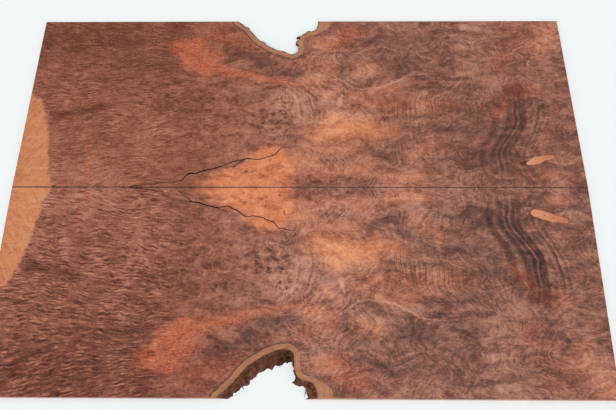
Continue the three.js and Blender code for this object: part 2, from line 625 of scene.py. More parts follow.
DARK_PLACES = [
    ((-270, 176), (-180, 182), (24, 24), 30, 0.7),
    ((-200, 128), (-120, 114), (14, 12), 22, 0.3),
    ((-134, 92), (-104, 100), (14, 14), 16, 0.4),
    ((-142, 150), (-130, 192), (8, 14), 12, 0.7),
    ((-244, 84), (-200, 92), (3, 4.5), 6, 0.9),
    ((-134, 107), (-123, 102.5), (2.4, 1.8), 3, 1.0),
    ((-123, 102.5), (-96, 100), (1.8, 1), 3, 0.9),
    ((-8, 12), (10, 10), (4, 4), 6, 0.5),
    ((28, 30), (46, 32), (4, 4), 6, 0.5),
    ((46, 90), (58, 92), (4, 4), 6, 0.6),
    ((138, 65), (152, 64), (2.5, 2.5), 4, 0.9),
    ((62, 49), (72, 40), (3, 3), 4, 0.8),
    ((164, 44), (170, 58), (4, 4), 6, 0.6),
    ((150, 96), (160, 84), (2.5, 2.5), 4, 0.9),
    ((117, 127), (136, 119), (3, 2), 5, 0.9),
    ((150, 143), (156, 145), (4, 3), 5, 0.8),
    ((190, 44), (222, 92), (18, 16), 20, 0.4),
    ((166, 30), (212, 30), (9, 9), 12, 0.5),
    ((184, 88), (200, 94), (8, 8), 9, 0.7),
    ((56, 168), (72, 172), (6, 6), 8, 0.6),
    ((218, 66), (221, 94), (4, 4), 5, 0.7),
    ((240, 90), (244, 95), (3, 3), 4, 0.9),
    ((204, 106), (226, 114), (8, 8), 10, 0.7),
    ((205, 138), (225, 176), (12, 12), 14, 0.2),
    ((-188, 142), (-136, 140), (12, 12), 14, 0.5),
    ((172, 62), (190, 80), (9, 9), 10, 0.4),
    ((-78, 168), (-44, 156), (8, 8), 10, 0.5),
    ((-110, 178), (-72, 186), (8, 8), 12, 0.3),
    ((-240, 146), (-208, 160), (9, 9), 12, 0.3),
    ((-264, 39), (-255, 46), (2.5, 3), 5, 0.8),
    ((-272, 4), (-268, 10), (3, 3), 5, 0.6),
    ((246, 84), (258, 92), (6, 6), 8, 0.5),
]
print(f"{len(LIGHT_PLACES)} light places, {len(WISP_PLACES)} wisps, {len(DARK_PLACES)} dark places")

# %% Orange flames and redder embers
ORANGE_PLACES = [
    ((-94, 1), (-26, 22), (3, 22), 7, 1.0),
    ((-60, 2), (-10, 4), (6, 5), 6, 1.0),
    ((-36, 34), (-34, 42), (8, 5), 4, 0.95),
    ((-12, 26), (8, 30), (12, 8), 12, 0.6),
    ((6, 16), (66, 20), (7, 7), 12, 0.5),
    ((18, 58), (66, 66), (12, 15), 14, 0.85),
    ((30, 60), (46, 70), (7, 9), 12, 1.0),
    ((26, 72), (36, 78), (8, 8), 10, 0.9),
    ((24, 106), (36, 114), (7, 7), 8, 0.3),
    ((60, 60), (94, 64), (10, 6), 9, 0.65),
    ((86, 8), (118, 10), (8, 9), 9, 0.5),
    ((238, 14), (250, 12), (3.5, 3), 7, 0.6),
    ((8, 40), (52, 44), (10, 8), 14, 0.5),
    ((14, 124), (28, 128), (7, 7), 8, 0.6),
    ((56, 138), (72, 140), (6, 6), 8, 0.5),
    ((22, 170), (36, 168), (6, 6), 8, 0.5),
    ((78, 112), (100, 110), (7, 7), 9, 0.45),
    ((108, 34), (132, 48), (6, 6), 10, 0.4),
    ((60, 96), (150, 92), (14, 8), 14, 0.35),
    ((244, 160), (262, 190), (9, 12), 12, 0.4),
]
EMBER_PLACES = [
    ((-129, 166), (-112, 164), (10, 15), 6, 1.0),
    ((-113, 152), (-96, 142), (13, 11), 6, 1.0),
    ((-96, 142), (-45, 129), (8, 4), 6, 0.85),
    ((-45, 129), (6, 115), (4, 1.5), 6, 0.8),
    ((-104, 160), (-88, 158), (10, 8), 8, 0.7),
    ((-92, 176), (-56, 176), (14, 12), 14, 0.35),
    ((34, 172), (54, 188), (8, 10), 9, 0.5),
    ((8, 145), (28, 144), (6, 7), 8, 0.4),
    ((204, 140), (225, 180), (10, 10), 14, 0.3),
    ((196, 82), (206, 100), (5, 6), 7, 0.5),
    ((212, 108), (236, 112), (6, 6), 8, 0.35),
    ((-201, 10), (-206, 44), (3, 3.5), 5, 0.4),
]
print(f"{len(ORANGE_PLACES)} orange strokes, {len(EMBER_PLACES)} ember strokes")

# %% Smoky stains, fingerprint lines and the sapwood corner
SMOKE_PLACES = [
    ((-84, 169), (-40, 149), (4, 5), 8, 0.75),
    ((-44, 147), (-4, 130), (5, 3), 6, 0.85),
    ((64, 48), (82, 32), (3, 5), 7, 0.65),
    ((82, 32), (106, 44), (5, 4), 8, 0.6),
    ((140, 30), (186, 28), (7, 8), 10, 0.4),
    ((150, 98), (166, 86), (5, 8), 7, 0.7),
    ((155, 105), (176, 104), (3, 3), 5, 0.6),
    ((186, 30), (214, 92), (14, 14), 16, 0.7),
    ((150, 56), (180, 66), (8, 9), 14, 0.5),
    ((226, 52), (240, 92), (6, 6), 10, 0.5),
    ((222, 20), (266, 18), (4, 5), 8, 0.5),
    ((74, 173), (106, 170), (3, 4), 6, 0.45),
    ((88, 150), (150, 140), (8, 7), 10, 0.5),
    ((100, 160), (150, 160), (5, 5), 8, 0.35),
    ((120, 174), (164, 170), (4, 4), 6, 0.3),
    ((10, 122), (70, 140), (1.2, 1.2), 2, 0.5),
]
PRINT_PLACES = [
    ((98, 80), (140, 104), (14, 16), 14, 1.0),
    ((96, 36), (118, 60), (14, 12), 16, 0.5),
    ((146, 112), (172, 122), (12, 10), 10, 0.8),
]
SAPWOOD_PLACES = [((-310, 0), (-310, 61), (72, 59), 2.4, 1.0)]
print(f"{len(SMOKE_PLACES)} smoky strokes, {len(PRINT_PLACES)} places of fingerprint lines")

# %% [markdown]
# ### Marks that differ between the leaves
# Near the right end a slip of sound, pale wood is caught in a dark pocket. Each leaf was cut at another
# depth, so the slip, the small pits and the closed strands beside the crack differ between them. One
# pattern for both would mirror them, so each leaf has its own short strokes.

# %% A sound inclusion near the right end
INCLUSION = [(0.0, srgb(184, 112, 78)), (0.5, srgb(210, 137, 101)), (1.0, srgb(226, 160, 124))]
NEAR_INCLUSION = [
    ((219.8, 27.4), (224, 27), (0.6, 2.6), 0.8, 1.0),
    ((222, 26.2), (237, 30.8), (3.4, 4.5), 0.8, 1.0),
    ((237, 30.8), (250.4, 35.2), (4.5, 2.4), 0.8, 1.0),
]
FAR_INCLUSION = [
    ((222, 26), (231, 29), (1.6, 4), 0.7, 1.0),
    ((231, 29), (247, 33.5), (4, 2.2), 0.7, 1.0),
]
NEAR_POCKET = [((221, 26.4), (250, 34.8), (5, 4.4), 1.2, 0.45)]
FAR_POCKET = [
    ((216, 26), (224, 27), (2.6, 2.4), 1.2, 1.0),
    ((222, 26), (248, 34), (3, 3.2), 1.2, 0.45),
]

# %% Small pits, painted as dark spots for the shade inside them
NEAR_PITS = [
    ((231, 28.9), (231.6, 29), (0.6, 0.5), 0.4, 1.0),
    ((239, 31), (242, 31.8), (0.4, 0.3), 0.4, 0.8),
    ((-50, 16.5), (-48.5, 17), (0.8, 0.7), 0.6, 0.7),
    ((-13.6, 26), (-13, 30), (0.6, 0.5), 0.6, 0.7),
    ((-17.5, 9), (-16.5, 9.6), (0.7, 0.6), 0.5, 0.8),
    ((46, 5), (50, 7), (1.4, 1.0), 0.9, 0.8),
    ((80, 3.4), (83.5, 3.2), (0.8, 0.7), 0.6, 0.8),
    ((20, 17), (23, 18), (1.6, 1.2), 1.6, 0.5),
]
FAR_PITS = [
    ((14, 4.6), (19, 5.4), (1.7, 1.0), 0.9, 0.9),
    ((30, 6), (36, 8), (1.2, 1.0), 0.9, 0.9),
    ((45, 9), (50, 11), (1.2, 0.8), 0.9, 0.8),
    ((-137.5, 30.5), (-136, 31), (1.0, 0.8), 0.6, 0.9),
    ((-50, 18), (-48.5, 18.4), (0.9, 0.8), 0.6, 0.8),
    ((-88, 44), (-86.5, 45), (0.9, 0.8), 0.7, 0.7),
    ((-70, 57), (-68.5, 57.6), (0.9, 0.8), 0.7, 0.7),
    ((-30, 46), (-28, 47), (1.2, 0.9), 0.8, 0.7),
]
print(f"{len(NEAR_PITS)} pits in the near leaf, {len(FAR_PITS)} in the far one")

# %% Hairline strands beside the crack, where it is still closed, painted as dark lines of shade
NEAR_HAIRLINES = [
    ((-160, 0.7), (-144, 2.7), (0.6, 0.55), 0.5, 0.9),
    ((-144, 2.7), (-129, 4.8), (0.55, 0.4), 0.5, 0.85),
    ((-114, 4.5), (-108, 9), (0.35, 0.5), 0.35, 0.7),
    ((-108, 9), (-100, 16), (0.5, 0.65), 0.35, 0.85),
    ((-77, 22), (-66, 26.5), (0.6, 0.3), 0.4, 0.85),
]
FAR_HAIRLINES = [
    ((-74, 21.2), (-63, 22.6), (0.3, 0.45), 0.4, 0.6),
    ((-63, 22.6), (-52, 31), (0.6, 0.6), 0.35, 0.9),
]
print(f"{len(NEAR_HAIRLINES)} hairlines near, {len(FAR_HAIRLINES)} far")

# %% [markdown]
# ### The flow of the wood
# Nothing in a burl runs straight. The slab's point is pushed about by three soft noises: a slow one, a
# curling one and a fine one. Strokes on a pushed point get wandering edges, and grain on it flows, so a
# few pushed points serve every growth.

# %% Pushed points
def flow_points(tree):
    """The slab's point, pushed about in several ways, with the masks that many growths use."""
    point, far = use_group(tree, SLAB)
    slow = push_at(laid(point, (46, 46, 70)), 2)
    fine = push_at(laid(point, (8, 8, 14)), 4, 0.6)
    curls = push_at(laid(point, (21, 17, 30)), 2)
    placed = flat(shifted(shifted(point, slow, 12), fine, 9))
    flowing = shifted(shifted(shifted(point, slow, 34), curls, 11), fine, 3)
    calm = shifted(shifted(point, slow, 13), fine, 2.5)
    level = flat(point)
    x, out, _ = split(placed)
    streams = laid(flowing, (30, 9.5, 24))
    wisps = noise_at(streams, detail=5, roughness=0.62, distortion=0.5, colour=True)
    mottle, warmth, fray = channels(wisps)
    return SimpleNamespace(
        tree=tree,
        point=point,
        far=far,
        slow=slow,
        fine=fine,
        curls=curls,
        placed=placed,  # where strokes with wandering edges are laid
        flowing=flowing,  # pushed far, for strands
        calm=calm,  # pushed little, for dashes and rings
        level=level,  # not pushed
        x=x,
        out=out,
        mottle=mottle,
        warmth=warmth,
        fray=fray,
        left=step(x, -70, -145),
        sap=strokes(placed, SAPWOOD_PLACES),
    )


# %% [markdown]
# ### The tone
# Every growth now gets its region and its strength, and they are added up. A tone of one half is the
# middle of a palette. The order is left, middle, right, and then what lies over the whole board.

# %% How strong each growth is, and where the regions lie
STRENGTH = {
    "curls": 0.46,
    "clouds": 0.5,
    "sap strands": 0.17,
    "bud net": 0.22,
    "bud eyes": 0.38,
    "flame eyes": 0.26,
    "folds": 0.2,
    "rings": 0.68,
    "fingerprints": 0.2,
    "lower strands": 0.1,
    "hair": 0.19,
    "upper strands": 0.08,
    "growth lines": 0.17,
    "mottle": 0.25,
    "grain": 0.2,
    "light places": 0.2,
    "dark places": 0.2,
    "wisps": 0.3,
}
NET_PLACES = [((-130, 84), (-18, 82), (40, 26), 26), ((-76, 152), (16, 146), (24, 18), 20)]
EYE_PLACE = ((-24, 62), (-16, 102), (10, 10), 10)
FLAME_EYE_PLACE = ((-64, 12), (40, 22), (8, 14), 10)
FOLD_PLACE = ((12, 80), (8, 110), (16, 18), 14)
RING_PLACE = ((188, 42), (222, 80), (28, 26), 20)
HAIR_PLACE = ((20, 124), (60, 92), (16, 20), 20)


# %% Tones of the left and the middle
def left_tones(at):
    tone = curl_tone(at.calm, at.far) * at.left * less(at.sap, 0.8) * STRENGTH["curls"]
    tone = tone + split(at.fine)[0] * less(at.left, 1) * STRENGTH["clouds"]
    return tone + strand_tone(at.calm, 58, (34, 2.4, 12)) * at.sap * STRENGTH["sap strands"]


def middle_tones(at, tone):
    net = stroke(at.level, *NET_PLACES[0]) * STRENGTH["bud net"]
    net = net + stroke(at.level, *NET_PLACES[1]) * STRENGTH["bud net"]
    eyes = stroke(at.level, *EYE_PLACE) * STRENGTH["bud eyes"]
    eyes = eyes + stroke(at.level, *FLAME_EYE_PLACE) * STRENGTH["flame eyes"]
    tone = tone + eye_tone(shifted(at.point, at.fine, 12)) * (net + eyes)
    folds = stroke(at.placed, *FOLD_PLACE)
    return tone + fold_tone(shifted(at.point, at.fine, 5)) * folds * STRENGTH["folds"]


# %% Tones of the right
def right_tones(at, tone):
    rings = stroke(at.placed, *RING_PLACE)
    tone = tone + ring_tone(at.calm) * rings * less(at.far, 0.3) * STRENGTH["rings"]
    prints = strokes(at.placed, PRINT_PLACES)
    tone = tone + fingerprint_tone(shifted(at.point, at.slow, 8)) * prints * STRENGTH["fingerprints"]
    patches = step(at.fray, 0.66, 0.4) * 0.7 + 0.3
    middle = step(at.x, -60, 0)
    lower = step(at.x, 20, 60) * step(at.out, 112, 140)
    tone = tone + strand_tone(at.flowing, 3, (28, 2.3, 20)) * lower * patches * STRENGTH["lower strands"]
    hair = stroke(at.placed, *HAIR_PLACE)
    tone = tone + strand_tone(at.flowing, -42, (40, 2.2, 20)) * hair * STRENGTH["hair"]
    upper = step(at.x, -10, 90) * step(at.out, 122, 92) * less(prints, 0.8) * less(rings, 0.5)
    tone = tone + strand_tone(at.flowing, 16, (28, 2.5, 20)) * upper * patches * STRENGTH["upper strands"]
    layers = shifted(shifted(at.point, at.curls, 4), at.fine, 1.5)
    return tone + layer_tone(layers) * middle * patches * STRENGTH["growth lines"]


# %% Tones over the whole board
def all_tones(at):
    tone = right_tones(at, middle_tones(at, left_tones(at)))
    tone = tone + spread(at.mottle, 0.3, 0.7) * (at.left * -0.12 + at.sap * 0.14 + STRENGTH["mottle"])
    at.grain = grain_tone(shifted(at.point, at.fine, 3))
    at.embers = strokes(at.placed, EMBER_PLACES)
    tone = tone + at.grain * (at.embers * 0.2 + STRENGTH["grain"])
    tone = tone + strokes(at.placed, LIGHT_PLACES) * STRENGTH["light places"]
    tone = tone - strokes(at.placed, DARK_PLACES) * STRENGTH["dark places"]
    tone = tone + strokes(flat(shifted(at.calm, at.curls, 3)), WISP_PLACES) * STRENGTH["wisps"]
    return (tone + 0.5).clamped()


# %% [markdown]
# ### The colours
# Mixing plain colours over the tone would flatten the figure. So each kind of wood turns the same tone
# into colour by its own palette, and a stroke's mask chooses between the results. A mask's faint edge is
# torn by noise, because a flame ends in tongues. The marks that differ between the leaves come last.

# %% Colours of the wood
FAR_SHEEN_TINT = srgb(152, 78, 30)  # painted sheen: the near leaf looks greyer with sheen, so the far leaf is tinted a little warmer
FAR_SHEEN_TINT_SHARE = 0.07


def wood_colour(at, tone):
    right = step(at.x + spread(at.warmth, 0.3, 0.7) * 50, -120, 50)
    colour = blend(at.tree, right, ramp(tone, *RED_BROWN), ramp(tone, *ROSE_BROWN))
    torn = spread(at.fray, 0.32, 0.68) + at.grain * 0.5

    def laid_in(under, mask, palette):
        share = mask * (torn * (mask * -1 + 1.15) * 1.6 + 1).clamped()
        return blend(at.tree, share, under, ramp(tone, *palette))

    colour = laid_in(colour, strokes(at.placed, SMOKE_PLACES), SMOKE)
    colour = laid_in(colour, strokes(at.placed, ORANGE_PLACES), ORANGE)
    colour = laid_in(colour, at.embers, EMBER)
    colour = laid_in(colour, at.sap, SAPWOOD)
    # painted sheen: the far leaf tinted warmer than the greyer, sheened near leaf
    return blend(at.tree, at.far * FAR_SHEEN_TINT_SHARE, colour, FAR_SHEEN_TINT)


# %% Marks that differ between the leaves
POCKET_BROWN = srgb(92, 46, 34)
# painted shade: the dark inside small holes, which aren't modelled
PIT_SHADE = srgb(98, 46, 33)
# painted shade of the hairline cracks, which aren't modelled
HAIRLINE_SHADE = srgb(62, 30, 23)
INCLUSION_MIDDLE = 232  # millimetres along the seam
INCLUSION_FADE = -0.022  # its tone falls by this in each millimetre to the right


def with_own_marks(at, colour):
    near = less(at.far, 1)
    still = flat(at.calm)

    def own(point, near_marks, far_marks):
        return strokes(point, near_marks) * near + strokes(point, far_marks) * at.far

    colour = blend(at.tree, own(still, NEAR_POCKET, FAR_POCKET), colour, POCKET_BROWN)
    inclusion = own(still, NEAR_INCLUSION, FAR_INCLUSION)
    fading = (split(still)[0] - INCLUSION_MIDDLE) * INCLUSION_FADE + 0.5
    colour = blend(at.tree, inclusion, colour, ramp(at.grain * 0.5 + fading, *INCLUSION))
    # painted shade of the small pits
    colour = blend(at.tree, own(still, NEAR_PITS, FAR_PITS) * 0.9, colour, PIT_SHADE)
    beside = flat(shifted(at.point, at.fine, 1.5))
    # painted shade: dark hairlines where the crack is still closed
    return blend(at.tree, own(beside, NEAR_HAIRLINES, FAR_HAIRLINES), colour, HAIRLINE_SHADE)


# %% The figure as one group
def make_figure_group():
    tree, _ = new_group("burl figure", [], [("Colour", COLOUR), ("Tone", NUMBER)])
    at = flow_points(tree)
    tone = all_tones(at)
    colour = with_own_marks(at, wood_colour(at, tone))
    return close_group(tree, Colour=colour, Tone=tone)


FIGURE = make_figure_group()

# %% [markdown]
# ## Materials
# The show face is sanded and unvarnished, so it is satin: soft, wide highlights, and pores that catch a
# little shade. Bark and the walls of the crack are rough and dull. Each is one Principled shader in a
# material of its own, and the figure and the slab's place come in as groups.

# %% A material with one shader
def new_material(name, roughness, shine):
    material = bpy.data.materials.new(name)
    material.use_nodes = True
    tree = material.node_tree
    tree.nodes.clear()
    shader = tree.nodes.new("ShaderNodeBsdfPrincipled")
    shader.inputs["Roughness"].default_value = roughness
    shader.inputs["Specular IOR Level"].default_value = shine
    output = tree.nodes.new("ShaderNodeOutputMaterial")
    tree.links.new(shader.outputs[0], output.inputs[0])
    print(f"material {material.name}")
    return material, tree, shader


def add_bump(tree, shader, height, strength, distance):
    bump = tree.nodes.new("ShaderNodeBump")
    bump.inputs["Strength"].default_value = strength
    bump.inputs["Distance"].default_value = distance
    plug(tree, height, bump.inputs["Height"])
    tree.links.new(bump.outputs[0], shader.inputs["Normal"])


def attribute(tree, name):
    return Field(tree, add_node(tree, "ShaderNodeAttribute", attribute_name=name).outputs["Fac"])


# %% [markdown]
# ### Sanded burl and its sapwood rim
# Under the bark lies a band of pale sapwood, a few millimetres wide, with fine rings that follow the
# bark. Its edge can't be a stroke, because it has to keep its distance from the ragged bark. So the mesh
# carries that distance as an attribute on its points, and the material reads it. A thin line of painted
# shade lies along the bark's rim, and a narrow band of painted shade along the seam, where the leaves
# meet. The sawn edges and the underside are paler than the sanded face: paler sawn wood, partly
# painted light.

# %% The sapwood rim
RIM_ATTRIBUTE = "rim"
RIM_WOOD = [(0.0, srgb(118, 74, 52)), (0.5, srgb(178, 121, 89)), (1.0, srgb(212, 158, 118))]
SAP_WIDTH = 5.2  # millimetres of sapwood inside the bark
SAP_CORNER = ((10, 192), (30, 198), (5, 9), 6)  # where the sapwood widens
SAP_CORNER_WIDTH = 8.0
SAP_WANDER = 3.0  # millimetres that its edge wanders
SAP_RINGS = 2 * math.pi / 1.9  # one growth ring in 1.9 mm
SAP_RING_TONE = 0.12
STAIN = ((-80, 200), (-12, 152), (14, 8), 8)  # where a dark stain lines the sapwood
STAIN_GREY = srgb(88, 64, 57)
# painted shade along the bark's rim
RIM_SHADE = srgb(66, 36, 25)


def rim_colour(tree, colour, tone, point, far):
    """The figure's colour, with the sapwood and the stain beside it laid along the bark, and a thin line
    of painted shade at the rim.
    """
    rim = attribute(tree, RIM_ATTRIBUTE)
    grit = noise_at(laid(point, (5, 5, 8)), detail=4, roughness=0.6)
    inward = rim + (grit - 0.5) * SAP_WANDER
    level = flat(point)
    width = stroke(level, *SAP_CORNER) * SAP_CORNER_WIDTH + SAP_WIDTH
    rings = (inward * SAP_RINGS).math("SINE") * SAP_RING_TONE
    sap_tone = (tone * 0.5 + rings + (grit - 0.5) * 0.6 + 0.24).clamped()
    stain = step(inward - width, 2.6, 0.2) * (stroke(level, *STAIN) * 0.6 + 0.15)
    colour = blend(tree, stain, colour, STAIN_GREY)
    colour = blend(tree, step(inward - width, 0.3, -0.5) * 0.9, colour, ramp(sap_tone, *RIM_WOOD))
    # painted shade: a thin dark line at the rim, stronger on the far leaf
    return blend(tree, step(inward, 0.9, 0.3) * (far * 0.5 + 0.5), colour, RIM_SHADE)


# %% The whole burl material
# painted shade of the narrow gap at the seam
SEAM_SHADE = srgb(58, 32, 26)
SEAM_SHADE_SHARE = 0.55
# paler sawn wood, partly painted light from the floor and the front
SAWN_PINK_AND_LIGHT = srgb(226, 190, 176)
SAWN_AND_LIGHT_SHARE = 0.44
DARK_ROUGHNESS = 0.56
LIGHT_GAIN = 0.12  # how much smoother the lightest wood is
PORE_SIZE = (2, 1.3, 4)  # millimetres
PORE_STRENGTH = 0.2
PORE_DEPTH = 0.15 * MM


def make_burl():
    material, tree, shader = new_material("sanded_burl", 0.5, 0.15)
    colour, tone = use_group(tree, FIGURE)
    point, far = use_group(tree, SLAB)
    colour = rim_colour(tree, colour, tone, point, far)
    _, out, depth = split(point)
    # painted shade: a narrow dark band along the seam
    colour = blend(tree, step(out, 1.1, 0.3) * SEAM_SHADE_SHARE, colour, SEAM_SHADE)
    below = depth.math("ABSOLUTE") - SAW_KERF / 2
    # the sawn faces paler: partly their own colour, partly painted light
    colour = blend(tree, step(below, 0.2, 0.5) * SAWN_AND_LIGHT_SHARE, colour, SAWN_PINK_AND_LIGHT)
    plug(tree, colour, shader.inputs["Base Color"])
    plug(tree, tone * -LIGHT_GAIN + DARK_ROUGHNESS, shader.inputs["Roughness"])
    pores = noise_at(laid(point, PORE_SIZE), detail=2, roughness=0.6)
    add_bump(tree, shader, pores, PORE_STRENGTH, PORE_DEPTH)
    return material


BURL = make_burl()

# %% [markdown]
# ### Bark and the crack's walls
# Bark is darkest in its furrows and paler on its scales, partly its own colour and partly painted shade
# in the furrows. Noise alone would colour it without regard to them. The mesh makes the furrows, so it
# also carries each point's height as an attribute, and the colour follows it, with finer grit on top.
# Painted shade also darkens the bark in the inner corner of the bay. The crack's walls are given
# near-black browns, painted shade for the depth of the crack, which hardly any light reaches.

# %% Bark, and the crack's walls
RELIEF_ATTRIBUTE = "relief"
BARK_SHADE = ((-10, 163), (0, 178), (5, 4), 5)  # painted shade on the bark, in the inner corner of the bay
GRIT_SIZE = (5, 5, 0.7)  # millimetres
GRIT_STRENGTH = 0.6
GRIT_DEPTH = 0.5 * MM
BARK_BROWN = [
    (0.0, srgb(34, 18, 13)),
    (0.45, srgb(88, 52, 39)),
    (0.75, srgb(124, 78, 58)),
    (1.0, srgb(160, 108, 78)),
]
# painted shade: near-black browns for the shade in the crack
CRACK_SHADE_BROWN = [(0.3, srgb(30, 18, 14)), (0.7, srgb(66, 38, 28))]


def make_bark():
    material, tree, shader = new_material("bark", 0.9, 0.1)
    point, _ = use_group(tree, SLAB)
    relief = attribute(tree, RELIEF_ATTRIBUTE)
    grit = noise_at(laid(point, GRIT_SIZE), detail=5, roughness=0.65)
    # painted shade in the furrows and in the bay's inner corner, over the bark's own browns
    level = (relief * 0.5 + grit * 0.9 - 0.2 - stroke(flat(point), *BARK_SHADE) * 0.3).clamped()
    plug(tree, ramp(level, *BARK_BROWN), shader.inputs["Base Color"])
    add_bump(tree, shader, grit, GRIT_STRENGTH, GRIT_DEPTH)
    return material


def make_crack_wall():
    material, tree, shader = new_material("crack_wall", 0.95, 0.1)
    point, _ = use_group(tree, SLAB)
    grain = noise_at(laid(point, (4, 1.2, 1.2)), detail=4, roughness=0.6)
    # painted shade on the crack's walls
    plug(tree, ramp(grain, *CRACK_SHADE_BROWN), shader.inputs["Base Color"])
    return material


BARK = make_bark()
CRACK_WALL = make_crack_wall()

# %% [markdown]
# ## The leaves
# A leaf starts as a copy of its solid, so it keeps every size. The sawn faces are joined back into single
# faces and their edges eased, as sandpaper does. Modelling it anew could lose a size, and a Bevel
# modifier would also round the bark. So each face is marked first as sawn wood, bark or crack, and each
# operator gets only the faces that it is for.

# %% Which surface a face belongs to
BAY_START = 140 * MM  # the bark bay lies further out from the seam than this
BAY_REACH = 100 * MM  # and no further along it than this, from the middle
CRACK_END = 60 * MM  # the crack lies nearer to the seam than this
CRACK_REACH = 180 * MM  # and no further along it than this
FLAT = 0.9995  # a face whose normal stands at least this upright is level
EXACT = 0.02 * MM
WOOD_SLOT, BARK_SLOT, CRACK_SLOT = range(3)  # material slots, which also mark the faces
SHOW, UNDER, SAWN = "show", "under", "sawn"


def mark_walls(bm):
    """Gives the faces of the bay and the crack their own material slots."""
    for face in bm.faces:
        middle = face.calc_center_median()
        out = abs(middle.y)
        level = abs(face.normal.z) > FLAT
        in_bay = out > BAY_START and OUTER_EDGE - out > EXACT and abs(middle.x) < BAY_REACH
        in_crack = SEAM_GAP / 2 + EXACT < out < CRACK_END and abs(middle.x) < CRACK_REACH
        if in_bay and not level:
            face.material_index = BARK_SLOT
        elif in_crack and not level:
            face.material_index = CRACK_SLOT


def surface_of(face):
    if face.material_index != WOOD_SLOT:
        return face.material_index
    if abs(face.normal.z) > FLAT:
        return SHOW if face.normal.z > 0 else UNDER
    return SAWN


# %% Faces, edges and points of a surface
def in_order(items):
    """Each item once, in a fixed order, so that every run makes the same mesh."""
    return list(dict.fromkeys(items))


def faces_of(bm, *surfaces):
    return [face for face in bm.faces if surface_of(face) in surfaces]


def edges_of(faces):
    return in_order(edge for face in faces for edge in face.edges)


def points_of(faces):
    return in_order(vert for face in faces for vert in face.verts)


# %% Join the sawn triangles into whole faces, and ease the sawn edges
SAME_PLANE = 0.999999  # how well the normals of two faces in one plane agree
SHARP = math.radians(40)
EASED = 0.3 * MM


def join_flats(bm):
    flats = [
        edge
        for edge in bm.edges
        if len(edge.link_faces) == 2
        and edge.link_faces[0].normal.dot(edge.link_faces[1].normal) > SAME_PLANE
        and all(face.material_index != BARK_SLOT for face in edge.link_faces)
    ]
    bmesh.ops.dissolve_edges(bm, edges=flats, use_verts=True)


def ease_edges(bm):
    edges = [
        edge
        for edge in bm.edges
        if len(edge.link_faces) == 2
        and all(face.material_index == WOOD_SLOT for face in edge.link_faces)
        and edge.calc_face_angle() > SHARP
    ]
    bmesh.ops.bevel(bm, geom=edges, offset=EASED, affect="EDGES", segments=2, profile=0.5, material=-1)
    return len(edges)


# %% [markdown]
# ### A grid of points on the flat faces
# The sapwood rim needs the distance to the bark all over the flat faces, and a single large face has no
# points in its middle to keep it. Subdividing the whole face as finely as the rim needs would waste
# thousands of points, so planes cut it into a coarse grid, and into a fine one only beside the bay.

# %% Cut the flat faces into a grid, finer beside the bay
COARSE = 25 * MM
FINE = 2.5 * MM
FINE_BOX = (-95 * MM, 45 * MM, 135 * MM)  # left, right, and how far out it starts
ON_PLANE = 1e-7


def cut(bm, place, normal, keep):
    """Cuts the flat faces that keep accepts by one plane."""
    faces = [face for face in faces_of(bm, SHOW, UNDER) if keep(face)]
    geom = [*points_of(faces), *edges_of(faces), *faces]
    bmesh.ops.bisect_plane(bm, geom=geom, dist=ON_PLANE, plane_co=place, plane_no=normal)


def beside_bay(face):
    left, right, start = FINE_BOX
    middle = face.calc_center_median()
    return left < middle.x < right and abs(middle.y) > start


def cut_grid(bm, side):
    half_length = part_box("leaf_near")[1].x
    columns = int(half_length / COARSE)
    for i in range(1 - columns, columns):
        cut(bm, (i * COARSE, 0, 0), (1, 0, 0), lambda face: True)
    for i in range(1, int(OUTER_EDGE / COARSE)):
        cut(bm, (0, side * i * COARSE, 0), (0, 1, 0), lambda face: True)
    left, right, start = FINE_BOX
    for i in range(int(left / FINE), int(right / FINE) + 1):
        cut(bm, (i * FINE, 0, 0), (1, 0, 0), beside_bay)
    for i in range(int(start / FINE), int(OUTER_EDGE / FINE) + 1):
        cut(bm, (0, side * i * FINE, 0), (0, 1, 0), beside_bay)


# %% [markdown]
# ### Ragged bark
# Sequoia bark is soft and stringy, and it tore unevenly where the slab was sawn. A Displace modifier
# would lift the sawn faces' edges too. So the bark's points are pushed one by one, by a fractal noise
# whose grain is a few millimetres, and any push that would leave a sawn face is taken away.

# %% Subdivide the walls of the bay and the crack
BARK_CUTS = 2
CRACK_CUTS = 8
LEVEL_EDGE = 0.1 * MM  # an edge that climbs less than this runs along the crack


def subdivide_walls(bm):
    bark = edges_of(faces_of(bm, BARK_SLOT))
    bmesh.ops.subdivide_edges(bm, edges=bark, cuts=BARK_CUTS, use_grid_fill=True)
    crack = edges_of(faces_of(bm, CRACK_SLOT))
    level = [edge for edge in crack if abs(edge.verts[0].co.z - edge.verts[1].co.z) < LEVEL_EDGE]
    bmesh.ops.subdivide_edges(bm, edges=level, cuts=CRACK_CUTS, use_grid_fill=True)


# %% Scraps of bark that held on at the rim
# Each is a place, a reach and a push, as (x, out) in millimetres.
RIM_SCRAPS = {
    "leaf_near": [((-9, 157), 9, (0, 1.2))],
    "leaf_far": [
        ((-1.6, 171.5), 3.6, (-3.0, 0.2)),
        ((-0.2, 179.6), 1.5, (-2.6, -0.2)),
        ((-17.5, 158.4), 4.5, (0.2, 1.7)),
        ((-39.5, 171.8), 2.2, (0.8, 1.3)),
        ((-57, 190), 2.6, (1.0, 1.4)),
        ((9, 186), 2.8, (-0.4, 1.2)),
    ],
}


def rim_push(name, x, out):
    """How far scraps of bark that held on push the rim into the bay, as (x, out) in millimetres."""
    push = Vector((0, 0))
    for place, reach, size in RIM_SCRAPS[name]:
        away = (Vector((x, out)) - Vector(place)).length / reach
        push += Vector(size) * math.exp(-away * away)
    return push


